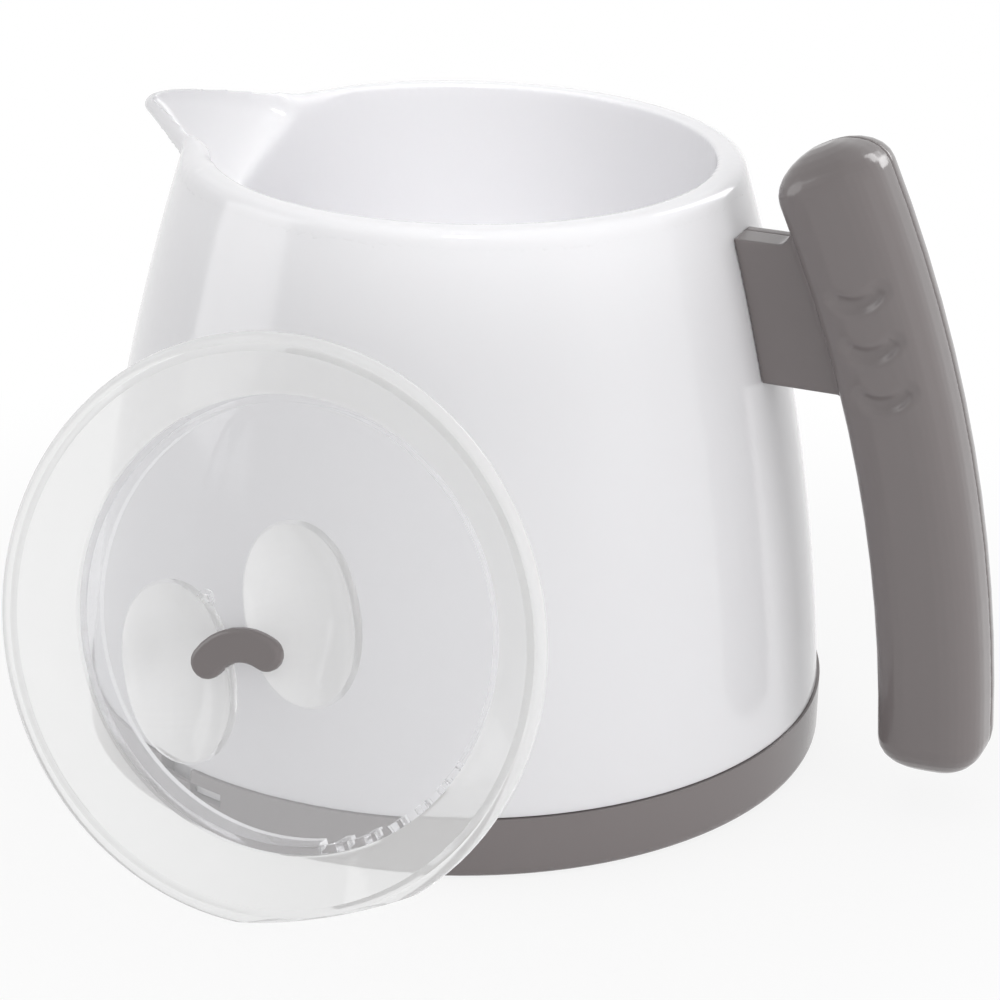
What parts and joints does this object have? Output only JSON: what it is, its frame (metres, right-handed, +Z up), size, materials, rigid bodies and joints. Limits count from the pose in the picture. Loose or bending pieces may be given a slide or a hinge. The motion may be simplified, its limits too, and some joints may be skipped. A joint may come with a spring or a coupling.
{
  "type": "microwave jug",
  "caption": "Double-walled microwave jug with a pouring spout, a grey handle, a twist-off base and a clear strainer lid that leans against it.",
  "frame": {"origin": "on the jug's axis, on the table that the base stands on", "axes": "+Z up along the jug's axis, +X towards the handle, -X towards the spout, -Y towards the leaning lid"},
  "size_m": [0.1748, 0.1637, 0.1218],
  "materials": {
    "white_plastic": "glossy moulded plastic",
    "grey_plastic": "satin to glossy moulded plastic",
    "clear_plastic": "clear moulded plastic"
  },
  "bodies": {
    "jug": {"shell": "white_plastic", "liner": "white_plastic", "handle_near": "grey_plastic", "handle_far": "grey_plastic"},
    "base": {"base": "grey_plastic"},
    "lid": {"lid": "clear_plastic", "lid_knob": "grey_plastic"}
  },
  "joints": [
    {"name": "base_twist", "type": "hinge", "parent": "jug", "child": "base", "pos_m": [0, 0, 0], "axis": [0, 0, 1], "range_deg": [0, 6.1]},
    {"name": "lid_lift", "type": "slide", "parent": "jug", "child": "lid", "axis": [0, -0.9703, 0.2419], "range_m": [0, 0.15]}
  ]
}
